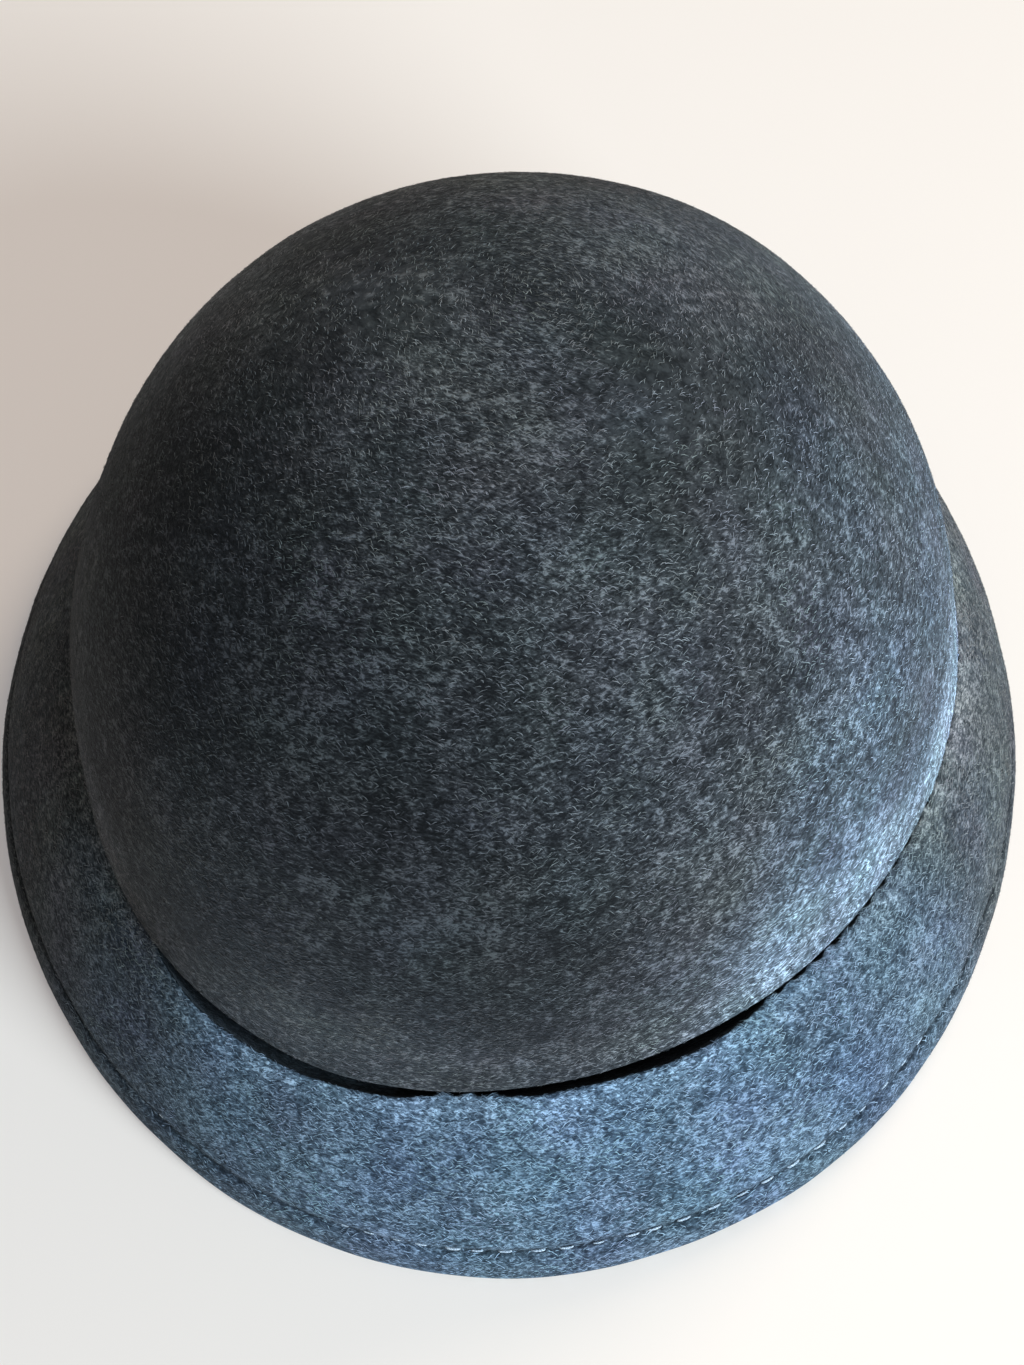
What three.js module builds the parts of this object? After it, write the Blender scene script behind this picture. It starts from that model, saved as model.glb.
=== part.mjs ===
// Cloche hat in thick blocked wool felt: a domed crown sewn into a turned-down brim.
// Millimetres, +Z up. The hat's front faces -Y, and it rests on the folded edge of its brim.
import * as THREE from 'three';
import { mergeVertices } from 'three/addons/utils/BufferGeometryUtils.js';

// ---- Driving dimensions ----

const felt = 2.5;             // thickness of one layer of felt
const roundSteps = 60;        // facets round the hat

// The head oval is the outside of the crown at the seam. Profiles are drawn for a round hat
// whose seam has the mean radius and the mean height, and are then fitted to the real oval.
const headOval = { halfWidth: 87, front: 104, back: 97 };
const meanRadius = 94;
const seamHeight = 35;

const crownHeight = 95;       // from the seam to the top of the dome
const sideFullness = 2.35;    // superellipse powers of the dome: 2 is a true ellipse,
const topFullness = 2.23;     // and more gives fuller shoulders
const crownLean = { x: -0.06, y: -0.12 };   // sideways shift for each mm of height above the seam
const crownFlare = 1.6;       // the crown kicks out by this much at the seam,
const flareHeight = 12;       // and the kick dies out by this height above it
const crownLip = 1.6;         // radius of the rolled lower edge of the crown

const brimReach = 24;         // mean reach of the brim past the crown, seen from above
const brimBulge = 3;          // how far the brim's slope stands out from a straight cone
const brimLipRadius = 1.2;    // rounding of the brim's inner lip, beside the groove
const collarHeight = 8;       // brim felt turned up inside the crown, as the seam's allowance
const collarInset = 3;        // collar's outer face, inside the crown's outside
const grooveDepth = 3.4;      // floor of the seam's groove, below the crown's lower edge
const grooveWidth = 1.5;      // between crown and brim lip, where the seam is drawn tight
const hemWidth = 7;           // the edge is folded under by this much, making two layers
const restWidth = 3;          // flat strip under the folded edge, where the hat rests

// One row for each 30 degrees round the hat, counted from +X with the back at 90:
// how far the brim reaches past the crown, and how high the seam sits.
const sections = [
  { at: 0, reach: 20, seam: 35 },
  { at: 30, reach: 18, seam: 35 },
  { at: 60, reach: 21, seam: 35.5 },
  { at: 90, reach: 27, seam: 35 },
  { at: 120, reach: 31, seam: 34.5 },
  { at: 150, reach: 32, seam: 35.5 },
  { at: 180, reach: 26.5, seam: 35 },
  { at: 210, reach: 21, seam: 35 },
  { at: 240, reach: 18.5, seam: 34 },
  { at: 270, reach: 20.5, seam: 33.5 },
  { at: 300, reach: 24.5, seam: 37.5 },
  { at: 330, reach: 25, seam: 36.5 },
];

// Where the seam's groove opens at the front: one row for each place where it changes.
const grooveRows = [
  { at: 238, width: 1.5 },
  { at: 252, width: 3.1 },
  { at: 263, width: 2.8 },
  { at: 275, width: 2.2 },
  { at: 285, width: 1.5 },
  { at: 298, width: 2.0 },
  { at: 313, width: 2.9 },
  { at: 325, width: 1.5 },
];

// ---- Fitting a round profile to the head ----

// A closed smooth curve through the rows, so that any angle between two rows can be read off.
const roundTheHat = new THREE.CatmullRomCurve3(
  sections.map((row) => new THREE.Vector3(row.reach, row.seam, 0)), true, 'catmullrom');

function sectionAt(angle) {
  const turn = (angle / (2 * Math.PI) + 1) % 1;
  const { x: reach, y: seam } = roundTheHat.getPoint(turn);
  return { reach, seam };
}

// Width of the groove at an angle, eased from row to row, and tight outside the rows.
function grooveAt(angle) {
  const at = (THREE.MathUtils.radToDeg(angle) + 360) % 360;
  const next = grooveRows.findIndex((row) => row.at > at);
  if (next < 1) return grooveWidth;
  const [before, after] = [grooveRows[next - 1], grooveRows[next]];
  const share = THREE.MathUtils.smoothstep(at, before.at, after.at);
  return THREE.MathUtils.lerp(before.width, after.width, share);
}

function ovalAt(angle) {
  const length = Math.sin(angle) < 0 ? headOval.front : headOval.back;
  return new THREE.Vector2(headOval.halfWidth * Math.cos(angle), length * Math.sin(angle));
}

// How much of the groove's opening a point of the brim takes: none at the collar, all of it
// at the brim's lip, fading out down the slope.
function grooveShare(outward) {
  const lip = crownFlare + grooveWidth;
  return outward < lip
    ? THREE.MathUtils.smoothstep(outward, -1, lip)
    : 1 - THREE.MathUtils.smoothstep(outward, lip, brimReach * 0.7);
}

// Moves one point of the round hat, given by its radius, angle and height, to its real place.
function fitPoint(radius, angle, height, isBrim) {
  const { reach, seam } = sectionAt(angle);
  const oval = ovalAt(angle);
  const outward = radius - meanRadius;
  const widen = isBrim ? (grooveAt(angle) - grooveWidth) * grooveShare(outward) : 0;
  const beyond = Math.max(outward, 0) * reach / brimReach + widen;
  const scale = Math.min(radius / meanRadius, 1) + beyond / oval.length();
  const above = Math.max(height - seamHeight, 0);
  const follow = height < seamHeight
    ? height / seamHeight
    : (1 - above / crownHeight) * Math.min(1, radius / (0.9 * meanRadius));
  return new THREE.Vector3(
    oval.x * scale + crownLean.x * above,
    oval.y * scale + crownLean.y * above,
    height + (seam - seamHeight) * follow);
}

// Turns a closed profile (radius, height) into a solid of felt fitted to the head.
function feltBody(profile, isBrim = false) {
  const lathe = new THREE.LatheGeometry(profile, roundSteps);
  lathe.deleteAttribute('normal');
  lathe.deleteAttribute('uv');
  const place = lathe.attributes.position;
  for (let i = 0; i < place.count; i += 1) {
    const x = place.getX(i);
    const y = place.getZ(i);
    const point = fitPoint(Math.hypot(x, y), Math.atan2(y, x), place.getY(i), isBrim);
    place.setXYZ(i, point.x, point.y, point.z);
  }
  const body = mergeVertices(lathe, 1e-4);
  body.computeVertexNormals();
  return body;
}

// Points of a rounded corner, from one direction to another, in degrees.
function corner(x, y, radius, from, to, steps) {
  return Array.from({ length: steps + 1 }, (_, i) => {
    const turn = THREE.MathUtils.degToRad(THREE.MathUtils.lerp(from, to, i / steps));
    return new THREE.Vector2(x + radius * Math.cos(turn), y + radius * Math.sin(turn));
  });
}

// ---- Crown ----

// The outward kick of the wall, by height above the seam.
function kickAt(up) {
  return crownFlare * Math.max(1 - up / flareHeight, 0) ** 2;
}

// A superellipse arc from the top of the dome down to the seam, with the kick at its foot.
// Its points crowd together towards the foot, where the kick bends the wall.
function domeArc(radius, height, steps) {
  return Array.from({ length: steps + 1 }, (_, i) => {
    const turn = (Math.PI / 2) * (1 - i / steps) ** 1.4;
    const across = i === 0 ? 0 : radius * Math.cos(turn) ** (2 / sideFullness);
    const up = height * Math.sin(turn) ** (2 / topFullness);
    return new THREE.Vector2(across + kickAt(up), seamHeight + up);
  });
}

function crownProfile() {
  const outside = domeArc(meanRadius, crownHeight, 22);
  const inside = domeArc(meanRadius - felt, crownHeight - felt, 15).reverse();
  const wall = outside.filter((point) => point.y > seamHeight + crownLip);
  const foot = meanRadius + kickAt(crownLip);
  const lip = corner(foot - crownLip, seamHeight + crownLip, crownLip, 0, -90, 3);
  return [...wall, ...lip, ...inside];
}

// ---- Brim ----

// The brim's outside: a slope that leaves the groove's lip and steepens towards the edge.
const slopeTop = new THREE.Vector2(meanRadius + crownFlare + grooveWidth + brimLipRadius, seamHeight - 1);
const slopeEnd = new THREE.Vector2(meanRadius + brimReach, felt);

function brimSlope() {
  const across = new THREE.Vector2().subVectors(slopeEnd, slopeTop);
  const outward = new THREE.Vector2(-across.y, across.x).normalize();
  const halfway = new THREE.Vector2().lerpVectors(slopeTop, slopeEnd, 0.5);
  const control = halfway.addScaledVector(outward, 2 * brimBulge);
  return new THREE.QuadraticBezierCurve(slopeTop, control, slopeEnd);
}

// A point under the slope, so many layers of felt further in.
function underSlope(slope, share, layers) {
  const along = slope.getTangent(share);
  const inward = new THREE.Vector2(along.y, -along.x);
  return slope.getPoint(share).addScaledVector(inward, felt * layers);
}

function brimProfile() {
  const slope = brimSlope();
  const hemStart = 1 - hemWidth / slope.getLength();
  const collarOut = meanRadius - collarInset;
  const collarIn = collarOut - felt;
  const collarTop = seamHeight + collarHeight;
  const grooveFloor = seamHeight - grooveDepth;
  const lipX = slopeTop.x - brimLipRadius * 0.7;
  const lipY = slopeTop.y - brimLipRadius * 0.7;
  const restOut = slopeEnd.x - felt * 0.6;
  const restIn = restOut - restWidth;
  const outerShares = [0.12, 0.24, 0.37, 0.5, 0.63, 0.75, hemStart, 0.92, 1];
  const innerShares = [0.68, 0.54, 0.4, 0.26, 0.14];
  return [
    // Collar, from its top down into the groove.
    new THREE.Vector2(collarIn + 0.6, collarTop),
    new THREE.Vector2(collarOut - 0.6, collarTop),
    new THREE.Vector2(collarOut, collarTop - 0.6),
    ...corner(collarOut + 1.2, grooveFloor + 1.2, 1.2, 180, 270, 2),
    new THREE.Vector2(meanRadius - 0.2, grooveFloor + 0.1),
    // Up the far side of the groove and over the brim's rounded lip, onto the slope.
    ...corner(lipX, lipY, brimLipRadius, 190, 60, 4),
    ...outerShares.map((share) => slope.getPoint(share)),
    // Round the fold to the flat strip that the hat rests on.
    new THREE.Vector2(slopeEnd.x - 0.2, felt * 0.45),
    new THREE.Vector2(slopeEnd.x - 0.7, felt * 0.12),
    new THREE.Vector2(restOut, 0),
    new THREE.Vector2(restIn, 0),
    new THREE.Vector2(restIn - 0.4, felt * 0.3),
    // The folded layer inside, and its cut edge.
    underSlope(slope, (1 + hemStart) / 2, 2),
    underSlope(slope, hemStart, 1.95),
    underSlope(slope, hemStart - 0.02, 1),
    // Up the inside to the collar.
    ...innerShares.map((share) => underSlope(slope, share, 1)),
    ...corner(collarIn + 2.2, grooveFloor + 0.2, 2.2, 250, 180, 3),
    new THREE.Vector2(collarIn, collarTop - 0.6),
    new THREE.Vector2(collarIn + 0.6, collarTop),
  ];
}

// ---- Materials ----

const crownFelt = new THREE.MeshStandardMaterial({ color: 0x4a5157, roughness: 0.95, metalness: 0 });
const brimFelt = new THREE.MeshStandardMaterial({ color: 0x53616f, roughness: 0.95, metalness: 0 });

// ---- Assembly ----

const crown = new THREE.Mesh(feltBody(crownProfile()), crownFelt);
crown.name = 'crown';

const brim = new THREE.Mesh(feltBody(brimProfile(), true), brimFelt);
brim.name = 'brim';

// The hat stands on z = 0 with the middle of its outline over the origin.
const hat = new THREE.Group();
hat.add(crown, brim);
const outline = new THREE.Box3().setFromObject(hat);
const middle = outline.getCenter(new THREE.Vector3());
hat.position.set(-middle.x, -middle.y, -outline.min.z);
hat.updateMatrixWorld(true);

export default hat;
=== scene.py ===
import math

import bpy
import numpy as np
from mathutils import Matrix, Vector


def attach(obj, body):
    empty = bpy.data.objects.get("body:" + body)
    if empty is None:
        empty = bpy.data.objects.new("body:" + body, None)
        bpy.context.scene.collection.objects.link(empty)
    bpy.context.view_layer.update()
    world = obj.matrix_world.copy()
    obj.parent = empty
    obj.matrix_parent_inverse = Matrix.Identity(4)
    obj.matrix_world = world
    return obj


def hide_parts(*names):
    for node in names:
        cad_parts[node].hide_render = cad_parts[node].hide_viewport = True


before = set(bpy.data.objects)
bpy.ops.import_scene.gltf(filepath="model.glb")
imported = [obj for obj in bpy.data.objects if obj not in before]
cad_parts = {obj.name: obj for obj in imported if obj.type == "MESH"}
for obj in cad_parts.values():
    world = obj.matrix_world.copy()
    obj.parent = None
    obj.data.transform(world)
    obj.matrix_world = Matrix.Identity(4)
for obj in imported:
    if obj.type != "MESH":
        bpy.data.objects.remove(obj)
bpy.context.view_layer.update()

# ---------------------------------------------------------------------------------------
# Camera: it looks steeply down on the front of the hat, from a step to the wearer's left,
# and is held a little crooked. It aims at a point low inside the crown.
# ---------------------------------------------------------------------------------------
aim_at = Vector((0.00029, 0.00013, 0.01763))
stand_off = 0.572
look_down = math.radians(55.93)
step_aside = math.radians(18.42)
crooked = math.radians(2.19)

bpy.ops.object.camera_add()
camera = bpy.context.object
camera.name = "camera"
camera.data.lens = 71.16
camera.data.sensor_width = 36.0
camera.data.clip_start = 0.01
turn_of_camera = (
    Matrix.Rotation(step_aside, 4, "Z")
    @ Matrix.Rotation(math.pi / 2 - look_down, 4, "X")
    @ Matrix.Rotation(crooked, 4, "Z")
)
back_off = turn_of_camera @ Vector((0, 0, stand_off))
camera.matrix_world = Matrix.Translation(aim_at + back_off) @ turn_of_camera
bpy.context.scene.camera = camera
bpy.context.scene.view_settings.view_transform = "Standard"

# ---------------------------------------------------------------------------------------
# Studio: a pale matt floor, a large cool window light from the wearer's left and the front,
# and a weak warm light from behind. The room around gives a little even light.
# ---------------------------------------------------------------------------------------
floor_size = 8.0
floor_drop = 0.0002
glow_far, glow_near = 0.30, -0.16


def noise_at(tree, vector, scale, detail=2.0, rough=0.5):
    node = tree.nodes.new("ShaderNodeTexNoise")
    node.inputs["Scale"].default_value = scale
    node.inputs["Detail"].default_value = detail
    node.inputs["Roughness"].default_value = rough
    tree.links.new(vector, node.inputs["Vector"])
    return node


def mix_colours(tree, share, first, second, blend="MIX"):
    node = tree.nodes.new("ShaderNodeMix")
    node.data_type = "RGBA"
    node.blend_type = blend
    node.clamp_factor = True
    for index, value in ((0, share), (6, first), (7, second)):
        if isinstance(value, (int, float, tuple)):
            node.inputs[index].default_value = value
        else:
            tree.links.new(value, node.inputs[index])
    return node.outputs[2]


bpy.ops.object.select_all(action="DESELECT")
bpy.ops.mesh.primitive_plane_add(size=floor_size, location=(0, 0, -floor_drop))
floor = bpy.context.object
floor.name = "floor"

floor_paint = bpy.data.materials.new("pale_floor")
floor_paint.use_nodes = True
tree = floor_paint.node_tree
place = tree.nodes.new("ShaderNodeTexCoord").outputs["Object"]
mottle = noise_at(tree, place, scale=9.0).outputs["Fac"]
paper = mix_colours(tree, mottle, (0.72, 0.615, 0.52, 1), (0.74, 0.635, 0.54, 1))
# The floor glows a little, as a lit paper sweep does, and more towards the front.
split = tree.nodes.new("ShaderNodeSeparateXYZ")
tree.links.new(place, split.inputs[0])
forward = tree.nodes.new("ShaderNodeMapRange")
forward.inputs["From Min"].default_value = glow_far
forward.inputs["From Max"].default_value = glow_near
tree.links.new(split.outputs[1], forward.inputs["Value"])
glow = mix_colours(tree, forward.outputs[0], (0.17, 0.18, 0.20, 1), (0.25, 0.245, 0.255, 1))
shine = tree.nodes["Principled BSDF"]
tree.links.new(paper, shine.inputs["Base Color"])
tree.links.new(glow, shine.inputs["Emission Color"])
shine.inputs["Emission Strength"].default_value = 1.0
shine.inputs["Roughness"].default_value = 0.9
shine.inputs["Specular IOR Level"].default_value = 0.1
floor.data.materials.append(floor_paint)


def hang_light(name, place, size, watts, colour):
    """A round soft light, turned to face the middle of the hat."""
    middle = Vector((0, 0, 0.05))
    bpy.ops.object.light_add(type="AREA", location=place)
    lamp = bpy.context.object
    lamp.name = name
    lamp.data.shape = "DISK"
    lamp.data.size = size
    lamp.data.energy = watts
    lamp.data.color = colour
    lamp.rotation_euler = (Vector(place) - middle).to_track_quat("Z", "Y").to_euler()


hang_light("window", (2.09, -1.10, 1.12), size=1.5, watts=132.0, colour=(0.68, 0.85, 1.0))
hang_light("room_lamp", (0.55, 1.75, 1.30), size=1.3, watts=26.0, colour=(1.0, 0.93, 0.84))

room = bpy.data.worlds.new("room")
room.use_nodes = True
air = room.node_tree.nodes["Background"]
air.inputs["Color"].default_value = (1.0, 0.965, 0.92, 1)
air.inputs["Strength"].default_value = 0.23
bpy.context.scene.world = room

# ---------------------------------------------------------------------------------------
# Crown: thick wool felt, steamed and pulled over a block into a round dome. Its lower edge
# is rolled under where it is sewn to the brim, and kicks out a little there.
# It is drawn as a round hat and then moved onto the head's own shape, as the blocker does.
# ---------------------------------------------------------------------------------------
MM = 0.001
points_round = 128

# Sizes in mm. The round hat has a mean radius, and the head's half-widths are what its seam
# is fitted to. For each mm above the seam the crown leans a little to one side and forwards.
felt = 2.5
mean_radius = 94.0
seam_height = 35.0
crown_height = 95.0
head_half_width, head_front, head_back = 87.0, 104.0, 97.0
brim_reach = 24.0
crown_flare, flare_height, crown_lip = 1.6, 12.0, 1.6
groove_width = 1.5
lean_aside, lean_forward = 0.06, 0.12
hat_shift = (3.3914, 0.1278)

# The dome's section is a squarish oval, and its rings crowd towards the seam.
dome_square_across, dome_square_up = 2.35, 2.23
ring_crowding = 1.4
dome_rings = 22

# Every 30 degrees round the hat from +X: the brim's reach, and the height of the seam.
reach_round = [20, 18, 21, 27, 31, 32, 26.5, 21, 18.5, 20.5, 24.5, 25]
seam_round = [35, 35, 35.5, 35, 34.5, 35.5, 35, 35, 34, 33.5, 37.5, 36.5]
# The groove's width where it opens along the front, by angle.
groove_at = [238, 252, 263, 275, 285, 298, 313, 325]
groove_open = [1.5, 3.1, 2.8, 2.2, 1.5, 2.0, 2.9, 1.5]


def smooth_step(value, low, high):
    share = np.clip((value - low) / (high - low), 0, 1)
    return share * share * (3 - 2 * share)


def round_curve(rows, angle):
    """A closed smooth curve through the rows, read at each angle in radians."""
    rows = np.array(rows, float)
    place = (angle / (2 * math.pi) % 1) * len(rows)
    start = np.floor(place).astype(int)
    t = place - start
    a, b, c, d = (rows[(start + step) % len(rows)] for step in (-1, 0, 1, 2))
    bend = (2 * a - 5 * b + 4 * c - d) * t**2 + (3 * b - a - 3 * c + d) * t**3
    return 0.5 * (2 * b + (c - a) * t + bend)


def groove_round(angle):
    at = np.degrees(angle) % 360
    width = np.full(at.shape, groove_width)
    spans = zip(groove_at, groove_at[1:], groove_open, groove_open[1:])
    for start, end, before, after in spans:
        inside = (at >= start) & (at < end)
        eased = before + (after - before) * smooth_step(at, start, end)
        width = np.where(inside, eased, width)
    return width


def fit_to_head(radius, angle, height, is_brim=False, pinch=0.0):
    """Moves points of the round hat, in mm, to their places on the real hat, in metres."""
    oval_x = head_half_width * np.cos(angle)
    oval_y = np.where(np.sin(angle) < 0, head_front, head_back) * np.sin(angle)
    outward = radius - mean_radius
    beyond = np.maximum(outward, 0) * round_curve(reach_round, angle) / brim_reach
    if is_brim:
        # The groove's opening fades out down the slope, and the pull of the stitches sooner.
        lip = crown_flare + groove_width
        opening_ends = brim_reach * 0.7
        pull_ends = 8
        rising = smooth_step(outward, -1, lip)
        opened = np.where(outward < lip, rising, 1 - smooth_step(outward, lip, opening_ends))
        pulled = np.where(outward < lip, rising, 1 - smooth_step(outward, lip, pull_ends))
        beyond = beyond + (groove_round(angle) - groove_width) * opened
        beyond = beyond - pinch * pulled
    scale = np.minimum(radius / mean_radius, 1) + beyond / np.hypot(oval_x, oval_y)
    # The seam's rise and fall is felt all down the brim and dies away up the crown.
    above = np.maximum(height - seam_height, 0)
    up_wall = (1 - above / crown_height) * np.minimum(1, radius / (0.9 * mean_radius))
    follow = np.where(height < seam_height, height / seam_height, up_wall)
    rise = (round_curve(seam_round, angle) - seam_height) * follow
    x = oval_x * scale - lean_aside * above + hat_shift[0]
    y = oval_y * scale - lean_forward * above + hat_shift[1]
    return np.stack([x, y, height + rise], -1) * MM


def places_of(mesh):
    places = np.empty(len(mesh.vertices) * 3)
    mesh.vertices.foreach_get("co", places)
    return places.reshape(-1, 3)


def put_in_order(mesh):
    """Rebuilds a mesh with its faces sorted, because extruding orders them anew each run."""
    places = places_of(mesh).tolist()
    faces = []
    for face in mesh.polygons:
        corners = list(face.vertices)
        first = corners.index(min(corners))
        faces.append(tuple(corners[first:] + corners[:first]))
    mesh.clear_geometry()
    mesh.from_pydata(places, [], sorted(faces))
    mesh.update()


def draw_round(name, rings, closed):
    """Draws rings of (radius, height) one from another, and smooths them into a body."""
    bpy.ops.object.select_all(action="DESELECT")
    radius, height = rings[0]
    bpy.ops.mesh.primitive_circle_add(
        vertices=points_round,
        radius=radius * MM,
        fill_type="NOTHING" if closed else "NGON",
        location=(0, 0, height * MM),
    )
    piece = bpy.context.object
    piece.name = name
    piece.data.name = name
    bpy.ops.object.transform_apply(location=True)
    bpy.ops.object.mode_set(mode="EDIT")
    bpy.ops.mesh.select_mode(type="EDGE")
    bpy.ops.mesh.select_all(action="SELECT")
    for before, after in zip(rings, rings[1:]):
        step = {"value": (0, 0, (after[1] - before[1]) * MM)}
        bpy.ops.mesh.extrude_edges_move(TRANSFORM_OT_translate=step)
        grow = after[0] / before[0]
        bpy.ops.transform.resize(value=(grow, grow, 1), center_override=(0, 0, 0))
    if not closed:
        bpy.ops.mesh.edge_face_add()
    bpy.ops.mesh.select_all(action="SELECT")
    bpy.ops.mesh.remove_doubles(threshold=0.00002)
    bpy.ops.mesh.normals_make_consistent(inside=False)
    bpy.ops.object.mode_set(mode="OBJECT")
    put_in_order(piece.data)
    smooth = piece.modifiers.new("smooth", "SUBSURF")
    smooth.levels = 2
    smooth.render_levels = 2
    bpy.ops.object.modifier_apply(modifier="smooth")
    bpy.ops.object.shade_smooth()
    return piece


def normals_of(mesh):
    normals = np.empty(len(mesh.vertices) * 3)
    mesh.vertex_normals.foreach_get("vector", normals)
    return normals.reshape(-1, 3)


def mark(mesh, name, values):
    layer = mesh.attributes.new(name, "FLOAT", "POINT")
    layer.data.foreach_set("value", values.astype(np.float32))


def uneven(piece, name, size, depth):
    """Gives blocked felt its slow unevenness, which no block presses out."""
    cloud = bpy.data.textures.new(name, "CLOUDS")
    cloud.noise_scale = size
    cloud.noise_depth = 1
    bpy.ops.object.select_all(action="DESELECT")
    piece.select_set(True)
    bpy.context.view_layer.objects.active = piece
    sway = piece.modifiers.new("sway", "DISPLACE")
    sway.texture = cloud
    sway.texture_coords = "LOCAL"
    sway.strength = depth
    sway.mid_level = 0.5
    bpy.ops.object.modifier_apply(modifier="sway")


def kick_at(up):
    return crown_flare * max(1 - up / flare_height, 0) ** 2


def dome_ring(radius, height, share):
    turn = math.pi / 2 * (1 - share) ** ring_crowding
    across = radius * math.cos(turn) ** (2 / dome_square_across)
    up = height * math.sin(turn) ** (2 / dome_square_up)
    return (across + kick_at(up), seam_height + up)


outside_rings = []
for number in range(1, dome_rings + 1):
    outside_rings.append(dome_ring(mean_radius, crown_height, number / dome_rings))
outside_rings = [ring for ring in outside_rings if ring[1] > seam_height + crown_lip + 0.3]
foot = mean_radius + kick_at(crown_lip)
lip_rings = []
for degrees in (0, -30, -60, -90):
    turn = math.radians(degrees)
    x = foot - crown_lip + crown_lip * math.cos(turn)
    z = seam_height + crown_lip + crown_lip * math.sin(turn)
    lip_rings.append((x, z))
# The inside is drawn back up to the top, with half as many rings.
wall_inside = mean_radius - felt
inside_count = dome_rings // 2
inside_rings = []
for number in range(inside_count, 0, -1):
    inside_rings.append(dome_ring(wall_inside, crown_height - felt, number / inside_count))
inside_rings[0] = (wall_inside + 0.7, seam_height + 0.05)
inside_rings.insert(1, (wall_inside + 0.1, seam_height + 1.2))

crown = draw_round("crown_felt", outside_rings + lip_rings + inside_rings, closed=False)
# Marks for the material and the nap: the outside, and the underside of the rolled edge.
spots = places_of(crown.data) / MM
facing = normals_of(crown.data)
from_inside = spots - np.array([0, 0, seam_height])
mark(crown.data, "outside", smooth_step((facing * from_inside).sum(1), 2, 12))
# Painted shade: the underside of the rolled edge is marked deep, so the material darkens it.
painted_shade_under_lip = smooth_step(-facing[:, 2], 0.15, 0.75) * (spots[:, 2] < seam_height + 2.5)
mark(crown.data, "deep", painted_shade_under_lip)
angle = np.arctan2(spots[:, 1], spots[:, 0])
fitted = fit_to_head(np.hypot(spots[:, 0], spots[:, 1]), angle, spots[:, 2])
crown.data.vertices.foreach_set("co", fitted.ravel())
crown.data.update()
uneven(crown, "crown unevenness", size=0.030, depth=0.0006)


def add_socket(group, name, kind, value=None, way="INPUT"):
    socket = group.interface.new_socket(name=name, in_out=way, socket_type=kind)
    if value is not None:
        socket.default_value = value
    return socket


def math_node(tree, operation, first, second=None, third=None):
    node = tree.nodes.new("ShaderNodeMath")
    node.operation = operation
    for socket, value in zip(node.inputs, (first, second, third)):
        if isinstance(value, (int, float)):
            socket.default_value = value
        elif value is not None:
            tree.links.new(value, socket)
    return node.outputs[0]


def ease_range(tree, value, low, high, to_low=0.0, to_high=1.0):
    node = tree.nodes.new("ShaderNodeMapRange")
    node.interpolation_type = "SMOOTHSTEP"
    tree.links.new(value, node.inputs["Value"])
    node.inputs["From Min"].default_value = low
    node.inputs["From Max"].default_value = high
    node.inputs["To Min"].default_value = to_low
    node.inputs["To Max"].default_value = to_high
    return node.outputs[0]


# Mixed wool felt: short wavy fibres of three dyed tones, matted mostly the way round the
# hat, with slow clouds where one tone gathers.
wool = bpy.data.node_groups.new("mixed wool felt", "ShaderNodeTree")
add_socket(wool, "Dark wool", "NodeSocketColor", (0.01, 0.013, 0.016, 1))
add_socket(wool, "Middle wool", "NodeSocketColor", (0.045, 0.058, 0.07, 1))
add_socket(wool, "Pale wool", "NodeSocketColor", (0.19, 0.23, 0.26, 1))
add_socket(wool, "Pale share", "NodeSocketFloat", 0.0)
add_socket(wool, "Cloud", "NodeSocketFloat", 0.5)
add_socket(wool, "Colour", "NodeSocketColor", way="OUTPUT")
add_socket(wool, "Height", "NodeSocketFloat", way="OUTPUT")
add_socket(wool, "Roughness", "NodeSocketFloat", way="OUTPUT")
waviness = 0.0009
fibre_size = (0.0015, 0.00046, 0.00046)
pole_size = 0.0007
given = wool.nodes.new("NodeGroupInput")
result = wool.nodes.new("NodeGroupOutput")
place = wool.nodes.new("ShaderNodeTexCoord").outputs["Object"]

# The fibres' waviness bends the pattern before it is stretched.
wave = noise_at(wool, place, scale=900.0, detail=1.0)
centred = wool.nodes.new("ShaderNodeVectorMath")
centred.operation = "SUBTRACT"
wool.links.new(wave.outputs["Color"], centred.inputs[0])
centred.inputs[1].default_value = (0.5, 0.5, 0.5)
bent = wool.nodes.new("ShaderNodeVectorMath")
bent.operation = "MULTIPLY_ADD"
wool.links.new(centred.outputs[0], bent.inputs[0])
bent.inputs[1].default_value = (waviness, waviness, waviness)
wool.links.new(place, bent.inputs[2])

# Which way is round the hat here, as the shares of four directions. At the very top, where
# no way is round, the shares even out.
split = wool.nodes.new("ShaderNodeSeparateXYZ")
wool.links.new(place, split.inputs[0])
xx = math_node(wool, "MULTIPLY", split.outputs[0], split.outputs[0])
yy = math_node(wool, "MULTIPLY", split.outputs[1], split.outputs[1])
xy = math_node(wool, "MULTIPLY", split.outputs[0], split.outputs[1])
across = math_node(wool, "ADD", math_node(wool, "SUBTRACT", yy, xx), pole_size)
total = math_node(wool, "ADD", math_node(wool, "ADD", xx, yy), pole_size)
straight = math_node(wool, "DIVIDE", across, total)
slanting = math_node(wool, "DIVIDE", math_node(wool, "MULTIPLY", xy, -2.0), total)

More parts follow.
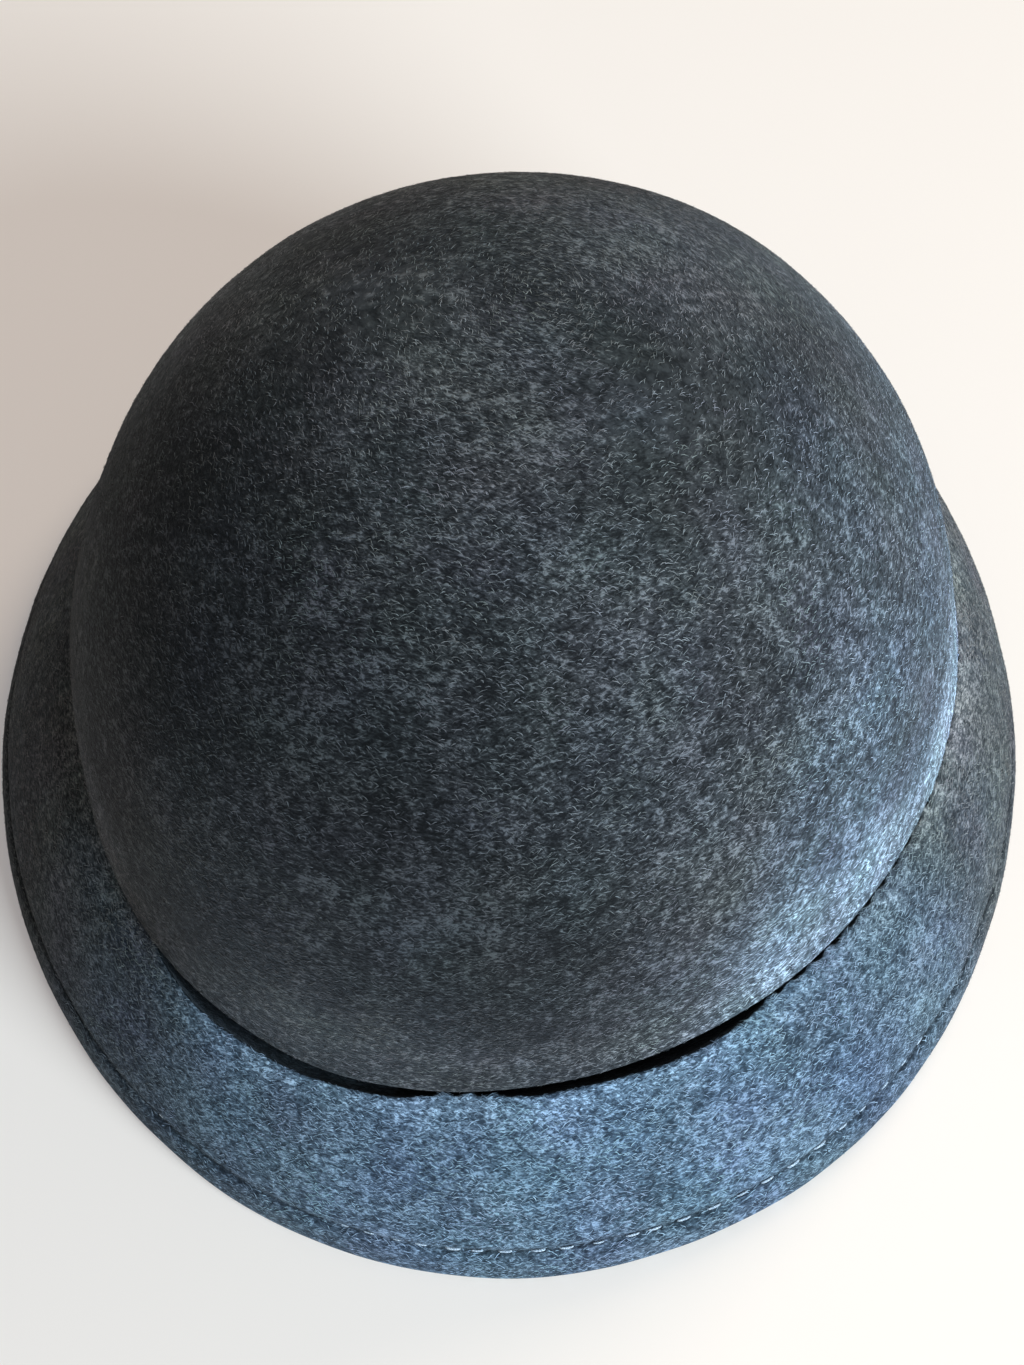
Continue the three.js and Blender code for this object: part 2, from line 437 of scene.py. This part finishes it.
four_ways = (
    (0, straight, 1.0),
    (90, straight, -1.0),
    (45, slanting, 1.0),
    (135, slanting, -1.0),
)
streaks = None
for degrees, lean, sign in four_ways:
    share = math_node(wool, "MAXIMUM", math_node(wool, "MULTIPLY", lean, sign), 0.0)
    lay = wool.nodes.new("ShaderNodeMapping")
    lay.vector_type = "TEXTURE"
    lay.inputs["Rotation"].default_value = (0, 0, math.radians(degrees))
    lay.inputs["Location"].default_value = (degrees * 0.013, 0, 0)
    lay.inputs["Scale"].default_value = fibre_size
    wool.links.new(bent.outputs[0], lay.inputs["Vector"])
    strand = noise_at(wool, lay.outputs[0], scale=1.0, detail=3.0, rough=0.62)
    centred = math_node(wool, "SUBTRACT", strand.outputs["Fac"], 0.5)
    part = math_node(wool, "MULTIPLY", centred, share)
    streaks = part if streaks is None else math_node(wool, "ADD", streaks, part)

clumps = noise_at(wool, place, scale=430.0, rough=0.6).outputs["Fac"]
clouds = noise_at(wool, place, scale=38.0).outputs["Fac"]
clump_part = math_node(wool, "MULTIPLY", math_node(wool, "SUBTRACT", clumps, 0.5), 0.55)
cloud_part = math_node(wool, "SUBTRACT", clouds, 0.5)
cloud_part = math_node(wool, "MULTIPLY", cloud_part, given.outputs["Cloud"])
mixed = math_node(wool, "ADD", math_node(wool, "ADD", streaks, clump_part), cloud_part)
mixed = math_node(wool, "ADD", mixed, given.outputs["Pale share"])
to_middle = ease_range(wool, mixed, -0.13, 0.05)
to_pale = ease_range(wool, mixed, 0.04, 0.21)
base = mix_colours(wool, to_middle, given.outputs["Dark wool"], given.outputs["Middle wool"])
base = mix_colours(wool, to_pale, base, given.outputs["Pale wool"])

# A slow drift of tint between warmer and greener wool.
drift = noise_at(wool, place, scale=55.0, detail=1.0).outputs["Color"]
tint = mix_colours(wool, 0.11, (0.5, 0.5, 0.5, 1), drift)
tinted = wool.nodes.new("ShaderNodeVectorMath")
tinted.operation = "MULTIPLY"
wool.links.new(base, tinted.inputs[0])
wool.links.new(tint, tinted.inputs[1])
doubled = wool.nodes.new("ShaderNodeVectorMath")
doubled.operation = "SCALE"
wool.links.new(tinted.outputs[0], doubled.inputs[0])
doubled.inputs["Scale"].default_value = 2.0
wool.links.new(doubled.outputs[0], result.inputs["Colour"])
wool.links.new(mixed, result.inputs["Height"])
matt = ease_range(wool, mixed, -0.2, 0.3, to_low=0.95, to_high=0.72)
wool.links.new(matt, result.inputs["Roughness"])


def shade_across(tree, colour, way, start, end, first, second):
    """Painted light and shade: multiplies the colour by one tone before start and by another
    past end.

    Both are metres along the way, and a slow noise makes the change wander.
    """
    place = tree.nodes.new("ShaderNodeTexCoord").outputs["Object"]
    reach = tree.nodes.new("ShaderNodeVectorMath")
    reach.operation = "DOT_PRODUCT"
    tree.links.new(place, reach.inputs[0])
    reach.inputs[1].default_value = way
    slow = noise_at(tree, place, scale=22.0, detail=1.0).outputs["Fac"]
    wander = math_node(tree, "MULTIPLY_ADD", slow, 0.05, -0.025)
    along = math_node(tree, "ADD", reach.outputs["Value"], wander)
    share = ease_range(tree, along, start, end)
    tone = mix_colours(tree, share, (*first, 1), (*second, 1))
    product = tree.nodes.new("ShaderNodeVectorMath")
    product.operation = "MULTIPLY"
    tree.links.new(colour, product.inputs[0])
    tree.links.new(tone, product.inputs[1])
    return product.outputs[0]


def felt_material(name, dark, middle, pale, pale_share, cloud, sheen, sheen_tint, light_stages):
    """A felt of three dyed wools, with painted shade in deep places and a painted highlight on
    raised edges.
    """
    material = bpy.data.materials.new(name)
    material.use_nodes = True
    tree = material.node_tree
    fibres = tree.nodes.new("ShaderNodeGroup")
    fibres.node_tree = wool
    fibres.inputs["Dark wool"].default_value = (*dark, 1)
    fibres.inputs["Middle wool"].default_value = (*middle, 1)
    fibres.inputs["Pale wool"].default_value = (*pale, 1)
    fibres.inputs["Pale share"].default_value = pale_share
    fibres.inputs["Cloud"].default_value = cloud
    bump = tree.nodes.new("ShaderNodeBump")
    bump.inputs["Strength"].default_value = 0.55
    bump.inputs["Distance"].default_value = 0.0009
    tree.links.new(fibres.outputs["Height"], bump.inputs["Height"])
    shader = tree.nodes["Principled BSDF"]
    # Painted shade: darkens the felt where the deep mark lies, in the groove and along the hem.
    painted_shade_mark = tree.nodes.new("ShaderNodeAttribute")
    painted_shade_mark.attribute_name = "deep"
    shadow = mix_colours(tree, painted_shade_mark.outputs["Fac"], (1, 1, 1, 1), (0.13, 0.12, 0.11, 1))
    # Painted highlight: makes the felt paler along the brim's lip, where light catches it.
    lip_highlight_share = tree.nodes.new("ShaderNodeAttribute")
    lip_highlight_share.attribute_name = "painted_lip_highlight"
    paler = mix_colours(tree, lip_highlight_share.outputs["Fac"], (1, 1, 1, 1), (1.75, 1.72, 1.65, 1))
    dyed = mix_colours(tree, 1.0, fibres.outputs["Colour"], paler, "MULTIPLY")
    dyed = mix_colours(tree, 1.0, dyed, shadow, "MULTIPLY")
    # Over the wool's own tones: painted shade, a painted highlight, then the painted light
    # stages.
    for stage in light_stages:
        dyed = shade_across(tree, dyed, *stage)
    tree.links.new(dyed, shader.inputs["Base Color"])
    tree.links.new(fibres.outputs["Roughness"], shader.inputs["Roughness"])
    tree.links.new(bump.outputs[0], shader.inputs["Normal"])
    shader.inputs["Specular IOR Level"].default_value = 0.12
    shader.inputs["Sheen Weight"].default_value = sheen
    shader.inputs["Sheen Roughness"].default_value = 0.45
    shader.inputs["Sheen Tint"].default_value = (*sheen_tint, 1)
    return material


# Painted light and shade, laid on as uneven tone: paler and bluer on the wearer's left, towards
# the window light, darker on the front to the right, and a painted sheen making a paler band
# just above the seam. Each stage is a way, where along it the change starts and ends, and the
# two tones.
crown_painted_light = (
    ((0.85, 0.16, -0.20), 0.014, 0.070, (1.20, 1.18, 1.14), (2.15, 2.55, 2.95)),
    ((-0.40, -0.88, 0.0), 0.020, 0.072, (1.0, 1.0, 1.0), (0.37, 0.37, 0.38)),
    ((0.0, 0.0, -1.0), -0.064, -0.040, (1.0, 1.0, 1.0), (2.3, 2.26, 2.2)),
)
crown_wool = felt_material(
    "crown_felt",
    dark=(0.007, 0.008, 0.009),
    middle=(0.026, 0.029, 0.032),
    pale=(0.120, 0.130, 0.140),
    pale_share=0.0,
    cloud=0.30,
    sheen=0.08,
    sheen_tint=(0.80, 0.90, 1.0),
    light_stages=crown_painted_light,
)
crown.data.materials.append(crown_wool)
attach(crown, "root")
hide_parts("crown")

# ---------------------------------------------------------------------------------------
# Brim: the same felt, blocked into a short slope that turns down. Its inner edge is turned
# up inside the crown and sewn there, and its outer edge is folded under into a hem.
# Its section is drawn up the collar, over the lip, down the slope and back under the hem.
# ---------------------------------------------------------------------------------------
slope_length = 34.4
hem_width = 7
slope_rise = 6
slope_top = np.array([mean_radius + crown_flare + groove_width + 1.2, seam_height - 1])
slope_end = np.array([mean_radius + brim_reach, felt])
down_slope = slope_end - slope_top
out_of_slope = np.array([-down_slope[1], down_slope[0]]) / np.linalg.norm(down_slope)
slope_control = (slope_top + slope_end) / 2 + out_of_slope * slope_rise
hem_start = 1 - hem_width / slope_length
stitch_line = 0.825


def on_slope(share, layers=0.0):
    """A point of the brim's slope, so many layers of felt under its outside."""
    point = (1 - share) ** 2 * slope_top + 2 * share * (1 - share) * slope_control
    point = point + share**2 * slope_end
    along = 2 * (1 - share) * (slope_control - slope_top)
    along = along + 2 * share * (slope_end - slope_control)
    along = along / np.linalg.norm(along)
    return point + np.array([along[1], -along[0]]) * felt * layers


def corner_rings(x, y, radius, start, end, steps):
    """A rounded corner about (x, y), from one angle to another in degrees."""
    rings = []
    for step in range(steps + 1):
        turn = math.radians(start + (end - start) * step / steps)
        rings.append((x + radius * math.cos(turn), y + radius * math.sin(turn)))
    return rings


collar_out = mean_radius - 3
collar_in = collar_out - felt
collar_top = seam_height + 8
groove_floor = seam_height - 3.4
rest_out = slope_end[0] - felt * 0.6
rest_in = rest_out - 3
corner = 1.2
outside_shares = (0.12, 0.24, 0.37, 0.5, 0.62, 0.73, 0.79, 0.83, 0.87, 0.93, 0.98)
underside_shares = (0.68, 0.52, 0.36, 0.2)

brim_rings = [(collar_in + 0.6, collar_top), (collar_out - 0.6, collar_top)]
brim_rings += [(collar_out, collar_top - 0.6), (collar_out, groove_floor + 5)]
brim_rings += corner_rings(collar_out + corner, groove_floor + corner, corner, 180, 270, 2)
brim_rings += [(mean_radius - 0.2, groove_floor + 0.1)]
brim_rings += corner_rings(slope_top[0] - 0.84, slope_top[1] - 0.84, corner, 190, 60, 4)
brim_rings += [tuple(on_slope(share)) for share in outside_shares]
brim_rings += [(slope_end[0] - 0.1, 1.6), (slope_end[0] - 0.6, 0.4)]
brim_rings += [(rest_out, 0.0), (rest_in, 0.0)]
brim_rings += [(rest_in - 0.4, 0.8), tuple(on_slope((1 + hem_start) / 2, 2))]
brim_rings += [tuple(on_slope(hem_start, 1.95)), tuple(on_slope(hem_start - 0.015, 1.1))]
brim_rings += [tuple(on_slope(share, 1)) for share in underside_shares]
brim_rings += corner_rings(collar_in + 2.2, groove_floor + 0.2, 2.2, 245, 180, 2)
brim_rings += [(collar_in, groove_floor + 5), (collar_in, collar_top - 0.6), brim_rings[0]]

brim = draw_round("brim_felt", brim_rings, closed=True)
spots = places_of(brim.data) / MM
facing = normals_of(brim.data)
radius = np.hypot(spots[:, 0], spots[:, 1])
angle = np.arctan2(spots[:, 1], spots[:, 0])
outward_facing = (facing[:, :2] * spots[:, :2]).sum(1) / radius
is_outside = (radius > mean_radius + 1.8) & (outward_facing > -0.2) & (facing[:, 2] > 0.02)
mark(brim.data, "outside", is_outside.astype(float))
# Painted shade: the groove's felt is darkened where shade falls in it: its floor, the collar
# beside it, and the inner side of the brim's lip. So is the channel that the hem stitching
# presses.
lip_inside = smooth_step(mean_radius + 3.2 - radius, 0, 1.4)
beside_collar = smooth_step(outward_facing, -0.2, 0.2) * (radius > collar_out - 1)
in_groove = lip_inside * np.maximum(beside_collar, facing[:, 2] > 0.3)
behind_lip = (radius < slope_top[0] - 0.5) & (outward_facing < -0.3)
in_groove = np.maximum(in_groove, behind_lip & (spots[:, 2] > seam_height - 4))
in_groove = in_groove * (radius > collar_out - 0.3)

# The row of hem stitching presses a shallow channel, and the folded edge puffs beside it.
press_depth, puff_height = 0.70, 0.30
hem_line = on_slope(stitch_line)
off_line = np.hypot(radius - hem_line[0], spots[:, 2] - hem_line[1])
press = press_depth * np.exp(-((off_line / 0.85) ** 2)) * is_outside
puff = puff_height * np.exp(-(((off_line - 3.2) / 1.6) ** 2)) * is_outside
puff = puff * (spots[:, 2] < hem_line[1])
channel = np.exp(-((off_line / 0.75) ** 2)) * is_outside
# Painted shade: the turned-down hem band below the stitch line is darkened a little.
folded = 0.22 * is_outside * smooth_step(hem_line[1] - spots[:, 2], -0.5, 0.8)
mark(brim.data, "deep", np.clip(np.maximum(in_groove, 0.62 * channel + folded), 0, 1))
# Painted highlight: the brim's lip beside the groove is marked to be painted paler.
mark(brim.data, "painted_lip_highlight", np.exp(-(((radius - slope_top[0] - 0.5) / 1.7) ** 2)) * is_outside)
push = puff - press
radius = radius + outward_facing * push
height = spots[:, 2] + facing[:, 2] * push

# Where the seam is drawn tight, each stitch pulls the brim's lip against the crown.
degrees = np.degrees(angle) % 360
stitch_pitch = 5.0
around = angle * mean_radius
tight = 1 - smooth_step(groove_round(angle), 1.5, 2.0)
stitch_turn = 2 * math.pi * around / stitch_pitch + 0.8 * np.sin(3.1 * angle)
pull = smooth_step(np.cos(stitch_turn), -0.6, 0.9)
right_side = smooth_step(degrees, 180, 212) * (1 - smooth_step(degrees, 236, 250))
left_front = smooth_step(degrees, 292, 306) * (1 - smooth_step(degrees, 318, 328))
pinch = tight * (1.55 + 0.60 * pull) + (1 - tight) * 0.95
pinch = pinch + 0.55 * right_side + 0.45 * left_front
near_lip = np.exp(-(((radius - slope_top[0] + 0.8) / 2.2) ** 2))
near_lip = near_lip * (spots[:, 2] > seam_height - 3)
height = height + near_lip * (0.45 + tight * (0.15 + 0.40 * pull))
fitted = fit_to_head(radius, angle, height, is_brim=True, pinch=pinch)
brim.data.vertices.foreach_set("co", fitted.ravel())
brim.data.update()
uneven(brim, "brim unevenness", size=0.022, depth=0.0006)
# Nothing of the brim goes under the floor it rests on.
settled = places_of(brim.data)
settled[:, 2] = np.maximum(settled[:, 2], 0)
brim.data.vertices.foreach_set("co", settled.ravel())
brim.data.update()

# Painted light and shade on the brim: bluest and brightest on the front, where the cool window
# light falls, and darker towards the wearer's right, away from it.
brim_painted_light = (
    ((0.40, -0.92, 0.0), 0.038, 0.102, (0.80, 0.74, 0.68), (0.97, 1.22, 1.46)),
    ((1.0, -0.10, 0.0), -0.080, 0.050, (0.62, 0.57, 0.54), (1.22, 1.13, 1.06)),
)
brim_wool = felt_material(
    "brim_felt",
    dark=(0.016, 0.022, 0.029),
    middle=(0.052, 0.068, 0.085),
    pale=(0.190, 0.230, 0.270),
    pale_share=0.02,
    cloud=0.22,
    sheen=0.08,
    sheen_tint=(0.75, 0.88, 1.0),
    light_stages=brim_painted_light,
)
brim.data.materials.append(brim_wool)
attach(brim, "root")
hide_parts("brim")

# ---------------------------------------------------------------------------------------
# Hem stitching: one row of silvery blue thread round the brim, a few millimetres in from
# its folded edge. Each stitch is a short plump length of thread that dips at both ends.
# ---------------------------------------------------------------------------------------
hem_stitches = 122
hem_stitch_length, hem_thread_width, hem_stitch_dip = 2.6, 0.50, 0.16
stitch_cuts = (-0.36, -0.15, 0.15, 0.36)
stitch_taper = 0.45


def one_stitch(name, length, thickness, dip):
    """One stitch lying along X, its ends bent down into the felt."""
    bpy.ops.object.select_all(action="DESELECT")
    bpy.ops.mesh.primitive_cylinder_add(
        vertices=6,
        radius=thickness / 2,
        depth=length,
        end_fill_type="TRIFAN",
        rotation=(0, math.pi / 2, 0),
    )
    stitch = bpy.context.object
    stitch.name = name
    bpy.ops.object.transform_apply(rotation=True)
    bpy.ops.object.mode_set(mode="EDIT")
    for cut in stitch_cuts:
        bpy.ops.mesh.select_all(action="SELECT")
        bpy.ops.mesh.bisect(plane_co=(cut * length, 0, 0), plane_no=(1, 0, 0))
    bpy.ops.object.mode_set(mode="OBJECT")
    for vertex in stitch.data.vertices:
        share = abs(vertex.co.x) / (length / 2)
        vertex.co.y *= 1 - stitch_taper * share**3
        vertex.co.z = vertex.co.z * (1 - stitch_taper * share**3) - dip * share**3
    bpy.ops.object.shade_smooth()
    return stitch


def sew_row(name, stitch, places, alongs, ups, sizes):
    """Lays a copy of the stitch at each place and joins them into one piece."""
    template = places_of(stitch.data)
    faces = [tuple(face.vertices) for face in stitch.data.polygons]
    vertices, polygons = [], []
    for place, along, up, size in zip(places, alongs, ups, sizes):
        along = along / np.linalg.norm(along)
        side = np.cross(up, along)
        side = side / np.linalg.norm(side)
        top = np.cross(along, side)
        start = len(vertices)
        turned = template * size @ np.stack([along, side, top])
        vertices.extend((turned + place).tolist())
        polygons.extend(tuple(start + corner for corner in face) for face in faces)
    mesh = bpy.data.meshes.new(name)
    mesh.from_pydata(vertices, [], polygons)
    mesh.update()
    row = bpy.data.objects.new(name, mesh)
    bpy.context.collection.objects.link(row)
    for face in mesh.polygons:
        face.use_smooth = True
    bpy.data.objects.remove(stitch)
    return row


chance = np.random.default_rng(7)
angles = np.arange(hem_stitches) / hem_stitches * 2 * math.pi
angles = angles + chance.normal(0, 0.004, hem_stitches)
a_bit_on = 0.01
hem_radius = np.full(hem_stitches, hem_line[0])
hem_level = np.full(hem_stitches, hem_line[1])
here = fit_to_head(hem_radius, angles, hem_level, is_brim=True)
ahead = fit_to_head(hem_radius, angles + a_bit_on, hem_level, is_brim=True)
below = on_slope(stitch_line + 0.035)
below_radius = np.full(hem_stitches, below[0])
below_level = np.full(hem_stitches, below[1])
lower = fit_to_head(below_radius, angles, below_level, is_brim=True)
alongs = ahead - here
ups = np.cross(alongs, here - lower)
ups = ups / np.linalg.norm(ups, axis=1)[:, None]
ups = ups * np.sign(ups[:, 2])[:, None]
# The thread is pulled deeper into the felt on the wearer's right than on the left.
degrees = np.degrees(angles) % 360
deep = 0.86 - 0.40 * smooth_step(degrees, 262, 292) * (1 - smooth_step(degrees, 318, 345))
hem_places = here - ups * (deep[:, None] + 0.05) * MM
hem_thread = sew_row(
    "hem_stitching",
    one_stitch("stitch", hem_stitch_length * MM, hem_thread_width * MM, hem_stitch_dip * MM),
    hem_places,
    alongs,
    ups,
    chance.uniform(0.8, 1.15, hem_stitches),
)


def thread_material(name, dark, pale, rough):
    """Twisted sewing thread: fine slanting ridges, with a painted highlight making their crests
    paler.
    """
    material = bpy.data.materials.new(name)
    material.use_nodes = True
    tree = material.node_tree
    place = tree.nodes.new("ShaderNodeTexCoord").outputs["Object"]
    twist = noise_at(tree, place, scale=5200.0, detail=1.0)
    crest = ease_range(tree, twist.outputs["Fac"], 0.35, 0.65)
    shader = tree.nodes["Principled BSDF"]
    tree.links.new(mix_colours(tree, crest, (*dark, 1), (*pale, 1)), shader.inputs["Base Color"])
    bump = tree.nodes.new("ShaderNodeBump")
    bump.inputs["Strength"].default_value = 0.5
    bump.inputs["Distance"].default_value = 0.0001
    tree.links.new(crest, bump.inputs["Height"])
    tree.links.new(bump.outputs[0], shader.inputs["Normal"])
    shader.inputs["Roughness"].default_value = rough
    shader.inputs["Sheen Weight"].default_value = 0.2
    return material


# The hem thread's own colour is a silvery blue; its pale crest tone is partly a painted glint.
silvery_blue = thread_material(
    "hem_thread",
    dark=(0.14, 0.20, 0.27),
    pale=(0.60, 0.68, 0.75),
    rough=0.4,
)
hem_thread.data.materials.append(silvery_blue)
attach(hem_thread, "root")

# ---------------------------------------------------------------------------------------
# Seam stitching: strong dark thread down in the groove between crown and brim. It shows
# between the two felts only where the groove is drawn tight.
# ---------------------------------------------------------------------------------------
seam_stitches = 118
seam_stitch_length, seam_thread_width, seam_stitch_dip = 3.4, 0.8, 0.5
angles = (np.arange(seam_stitches) + 0.5) / seam_stitches * 2 * math.pi
seam_radius = np.full(seam_stitches, mean_radius + 1.9)
seam_level = np.full(seam_stitches, seam_height - 2.4)
here = fit_to_head(seam_radius, angles, seam_level, is_brim=True)
alongs = fit_to_head(seam_radius, angles + a_bit_on, seam_level, is_brim=True) - here
ups = np.tile(np.array([0.0, 0.0, 1.0]), (seam_stitches, 1))
seam_thread = sew_row(
    "seam_stitching",
    one_stitch("stitch", seam_stitch_length * MM, seam_thread_width * MM, seam_stitch_dip * MM),
    here,
    alongs,
    ups,
    chance.uniform(0.85, 1.1, seam_stitches),
)
near_black = thread_material(
    "seam_thread",
    dark=(0.006, 0.009, 0.011),
    pale=(0.022, 0.028, 0.03),
    rough=0.6,
)
seam_thread.data.materials.append(near_black)
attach(seam_thread, "root")

# ---------------------------------------------------------------------------------------
# Nap: loose wool fibres that lie on the felt, mostly the way round the hat. They are short,
# a little curved, and some lift off the surface, which softens the hat's outline.
# ---------------------------------------------------------------------------------------
# Fibres for each square metre of felt, where the nap is neither thick nor thin.
crown_pale_nap = 780000
crown_dark_nap = 560000
brim_pale_nap = 1500000
brim_dark_nap = 800000
# The flat plan of the hat that the fibres' own map is read from, in metres.
plan_size = 0.27


def one_fibre(length, thickness, lift, bow):
    """One curved fibre lying along X, its two ends sunk into the felt."""
    end_depth = 0.06 * MM
    narrowing = 0.75
    bpy.ops.object.select_all(action="DESELECT")
    bpy.ops.mesh.primitive_grid_add(x_subdivisions=2, y_subdivisions=1, size=1.0)
    fibre = bpy.context.object
    fibre.name = "one_fibre"
    bpy.ops.object.mode_set(mode="EDIT")
    bpy.ops.mesh.select_all(action="SELECT")
    bpy.ops.transform.resize(value=(length, thickness, 1), center_override=(0, 0, 0))
    bpy.ops.object.mode_set(mode="OBJECT")
    for vertex in fibre.data.vertices:
        share = abs(vertex.co.x) / (length / 2)
        vertex.co.y = vertex.co.y * (1 - narrowing * share) + bow * (1 - share)
        vertex.co.z = lift * (1 - share) - end_depth * share
    return fibre


def read_mark(tree, name):
    node = tree.nodes.new("GeometryNodeInputNamedAttribute")
    node.data_type = "FLOAT"
    node.inputs["Name"].default_value = name
    return node.outputs["Attribute"]


def any_three(tree, seed, low, high):
    """Three random numbers for each fibre, each between its low and its high."""
    node = tree.nodes.new("FunctionNodeRandomValue")
    node.data_type = "FLOAT_VECTOR"
    node.inputs[0].default_value = low
    node.inputs[1].default_value = high
    node.inputs["Seed"].default_value = seed
    return node.outputs[0]


def nap_layer(name, fibre, per_square_metre, seed):
    """The nodes that scatter a fibre over felt, lay it round the hat and give it a shade."""
    tree = bpy.data.node_groups.new(name, "GeometryNodeTree")
    tree.interface.new_socket("Geometry", in_out="INPUT", socket_type="NodeSocketGeometry")
    tree.interface.new_socket("Geometry", in_out="OUTPUT", socket_type="NodeSocketGeometry")
    new, link = tree.nodes.new, tree.links.new
    start, end = new("NodeGroupInput"), new("NodeGroupOutput")
    where = new("GeometryNodeInputPosition").outputs[0]

    # The fibres gather in clumps, and leave the groove and the stitched channel bare.
    gather = noise_at(tree, where, scale=300.0)
    clump = new("ShaderNodeMapRange")
    link(gather.outputs["Fac"], clump.inputs["Value"])
    clump.inputs["From Min"].default_value = 0.36
    clump.inputs["From Max"].default_value = 0.62
    clump.inputs["To Min"].default_value = 0.15 * per_square_metre
    clump.inputs["To Max"].default_value = 1.85 * per_square_metre
    bare = math_node(tree, "SUBTRACT", read_mark(tree, "outside"), read_mark(tree, "deep"))
    bare.node.use_clamp = True
    density = math_node(tree, "MULTIPLY", bare, clump.outputs[0])
    scatter = new("GeometryNodeDistributePointsOnFaces")
    scatter.distribute_method = "RANDOM"
    scatter.inputs["Seed"].default_value = seed
    link(start.outputs[0], scatter.inputs["Mesh"])
    link(density, scatter.inputs["Density"])

    # The way round the hat: straight up crossed with the way out from the crown's top.
    outwards = new("ShaderNodeVectorMath")
    outwards.operation = "ADD"
    outwards.inputs[1].default_value = (0, -0.012, 0)
    link(where, outwards.inputs[0])
    around = new("ShaderNodeVectorMath")
    around.operation = "CROSS_PRODUCT"
    around.inputs[0].default_value = (0, 0, 1)
    link(outwards.outputs[0], around.inputs[1])
    axes = new("FunctionNodeAxesToRotation")
    axes.primary_axis = "Z"
    axes.secondary_axis = "X"
    link(scatter.outputs["Normal"], axes.inputs[0])
    link(around.outputs[0], axes.inputs[1])
    stray = new("FunctionNodeEulerToRotation")
    link(any_three(tree, seed + 1, (-0.25, -0.16, -0.85), (0.25, 0.16, 0.85)), stray.inputs[0])
    turned = new("FunctionNodeRotateRotation")
    turned.rotation_space = "LOCAL"
    link(axes.outputs[0], turned.inputs[0])
    link(stray.outputs[0], turned.inputs[1])

    source = new("GeometryNodeObjectInfo")
    source.inputs["Object"].default_value = fibre
    laid = new("GeometryNodeInstanceOnPoints")
    link(scatter.outputs["Points"], laid.inputs["Points"])
    link(source.outputs["Geometry"], laid.inputs["Instance"])
    link(turned.outputs[0], laid.inputs["Rotation"])
    link(any_three(tree, seed + 2, (0.55, 0.7, 0.2), (1.35, 1.3, 1.5)), laid.inputs["Scale"])
    shade = new("FunctionNodeRandomValue")
    shade.data_type = "FLOAT"
    shade.inputs["Seed"].default_value = seed + 3
    keep = new("GeometryNodeStoreNamedAttribute")
    keep.data_type = "FLOAT"
    keep.domain = "INSTANCE"
    keep.inputs["Name"].default_value = "shade"
    link(laid.outputs[0], keep.inputs["Geometry"])
    link(shade.outputs[1], keep.inputs["Value"])
    real = new("GeometryNodeRealizeInstances")
    link(keep.outputs[0], real.inputs[0])
    link(real.outputs[0], end.inputs[0])
    return tree


def lay_nap(name, felt_piece, fibre, per_square_metre, seed, material):
    """Scatters fibres over the outside of a felt piece, and makes them one mesh."""
    nap = felt_piece.copy()
    nap.data = felt_piece.data.copy()
    nap.name = name
    nap.data.name = name
    bpy.context.collection.objects.link(nap)
    layer = nap.modifiers.new("nap", "NODES")
    layer.node_group = nap_layer(name + " layer", fibre, per_square_metre, seed)
    bpy.ops.object.select_all(action="DESELECT")
    nap.select_set(True)
    bpy.context.view_layer.objects.active = nap
    bpy.ops.object.modifier_apply(modifier="nap")
    # Each fibre's place on a flat plan of the hat, for its own map.
    mesh = nap.data
    flat = places_of(mesh)[:, :2] / plan_size + 0.5
    plan = mesh.uv_layers.new(name="OFBake")
    corners = np.empty(len(mesh.loops), dtype=np.int64)
    mesh.loops.foreach_get("vertex_index", corners)
    plan.data.foreach_set("uv", flat[corners].ravel().astype(np.float32))
    mesh.materials.clear()
    mesh.materials.append(material)
    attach(nap, "root")


def fibre_material(name, deep, bright, light_stages):
    """Single wool fibres, each its own tone, with a little drifting tint and the felt's painted
    light.
    """
    material = bpy.data.materials.new(name)
    material.use_nodes = True
    tree = material.node_tree
    tone = tree.nodes.new("ShaderNodeAttribute")
    tone.attribute_name = "shade"
    place = tree.nodes.new("ShaderNodeTexCoord").outputs["Object"]
    drift = noise_at(tree, place, scale=60.0, detail=1.0).outputs["Color"]
    own = mix_colours(tree, tone.outputs["Fac"], (*deep, 1), (*bright, 1))
    own = mix_colours(tree, 0.25, own, mix_colours(tree, 1.0, own, drift, "MULTIPLY"))
    for stage in light_stages:
        own = shade_across(tree, own, *stage)
    shader = tree.nodes["Principled BSDF"]
    tree.links.new(own, shader.inputs["Base Color"])
    shader.inputs["Roughness"].default_value = 0.75
    shader.inputs["Specular IOR Level"].default_value = 0.2
    return material


pale_grey = fibre_material(
    "pale_grey_fibres",
    deep=(0.050, 0.055, 0.059),
    bright=(0.25, 0.265, 0.28),
    light_stages=crown_painted_light,
)
pale_blue = fibre_material(
    "pale_blue_fibres",
    deep=(0.09, 0.11, 0.13),
    bright=(0.36, 0.42, 0.47),
    light_stages=brim_painted_light,
)
dark_grey = fibre_material(
    "dark_grey_fibres",
    deep=(0.005, 0.006, 0.007),
    bright=(0.022, 0.025, 0.028),
    light_stages=crown_painted_light,
)
dark_blue = fibre_material(
    "dark_blue_fibres",
    deep=(0.012, 0.018, 0.025),
    bright=(0.045, 0.06, 0.075),
    light_stages=brim_painted_light,
)

long_fibre = one_fibre(1.6 * MM, thickness=0.115 * MM, lift=0.13 * MM, bow=0.17 * MM)
short_fibre = one_fibre(1.2 * MM, thickness=0.15 * MM, lift=0.08 * MM, bow=-0.14 * MM)
lay_nap("crown_nap_pale", crown, long_fibre, crown_pale_nap, 11, pale_grey)
lay_nap("crown_nap_dark", crown, short_fibre, crown_dark_nap, 23, dark_grey)
lay_nap("brim_nap_pale", brim, long_fibre, brim_pale_nap, 37, pale_blue)
lay_nap("brim_nap_dark", brim, short_fibre, brim_dark_nap, 41, dark_blue)
bpy.data.objects.remove(long_fibre)
bpy.data.objects.remove(short_fibre)
